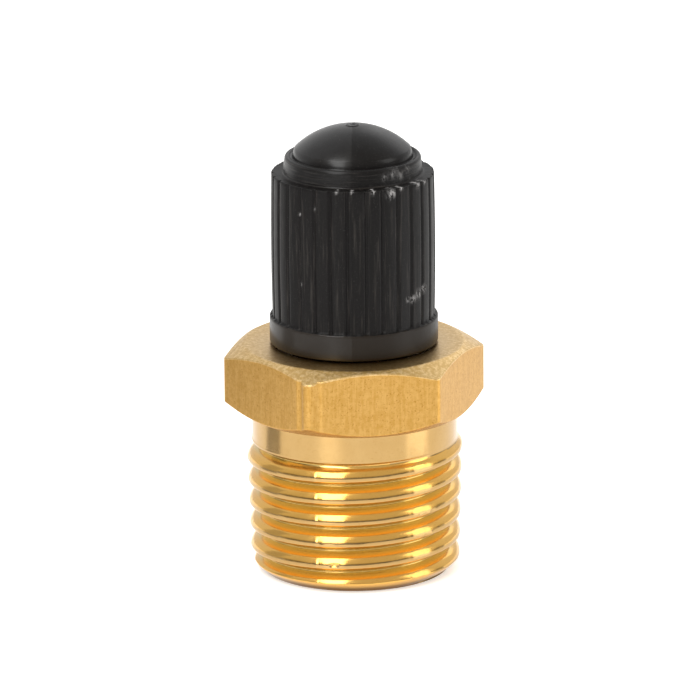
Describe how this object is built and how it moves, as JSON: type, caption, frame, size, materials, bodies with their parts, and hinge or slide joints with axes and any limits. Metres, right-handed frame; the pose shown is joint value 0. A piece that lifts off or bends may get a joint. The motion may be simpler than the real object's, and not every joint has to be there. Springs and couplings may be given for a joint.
{
  "type": "air vent valve",
  "caption": "Brass air vent and charging valve: hexagon body with a taper pipe thread below, spring-loaded core inside, and a black ribbed screw-on dust cap above.",
  "frame": {"origin": "centre of the thread's end face, the lowest face of the valve", "axes": "+Z along the valve's axis from the pipe thread to the dust cap; X through two corners of the hexagon, -Y out of one of its flats"},
  "size_m": [0.0164, 0.0142, 0.0284],
  "materials": {
    "brass": "turned and drawn brass, satin flats and a bright rolled thread",
    "core_brass": "fine turned brass",
    "black_plastic": "satin moulded black plastic",
    "black_rubber": "matt moulded rubber",
    "red_seal": "smooth moulded seal",
    "steel": "drawn wire"
  },
  "bodies": {
    "valve": {"valve_body": "brass", "core_plug": "core_brass", "core_barrel": "core_brass", "barrel_gasket": "red_seal", "pin_spring": "steel"},
    "pin": {"valve_pin": "steel", "spring_collar": "core_brass", "plunger_cup": "core_brass", "plunger_seal": "black_rubber"},
    "seal": {"cap_seal": "black_rubber"},
    "cap": {"dust_cap": "black_plastic"}
  },
  "joints": [
    {"name": "cap_lift", "type": "slide", "parent": "valve", "child": "seal", "axis": [0, 0, 1], "range_m": [0, 0.00952]},
    {"name": "cap_turn", "type": "hinge", "parent": "seal", "child": "cap", "pos_m": [0, 0, 0.0146], "axis": [0, 0, 1], "range_deg": [0, 4320]},
    {"name": "pin_press", "type": "slide", "parent": "valve", "child": "pin", "axis": [0, 0, -1], "range_m": [0, 0.0015], "stiffness_N_per_m": 600, "springref_m": -0.002, "deforming": ["pin_spring"]}
  ],
  "couplings": [
    {"joint": "cap_turn", "follows": "cap_lift", "rad_per_m": 7913.3}
  ]
}
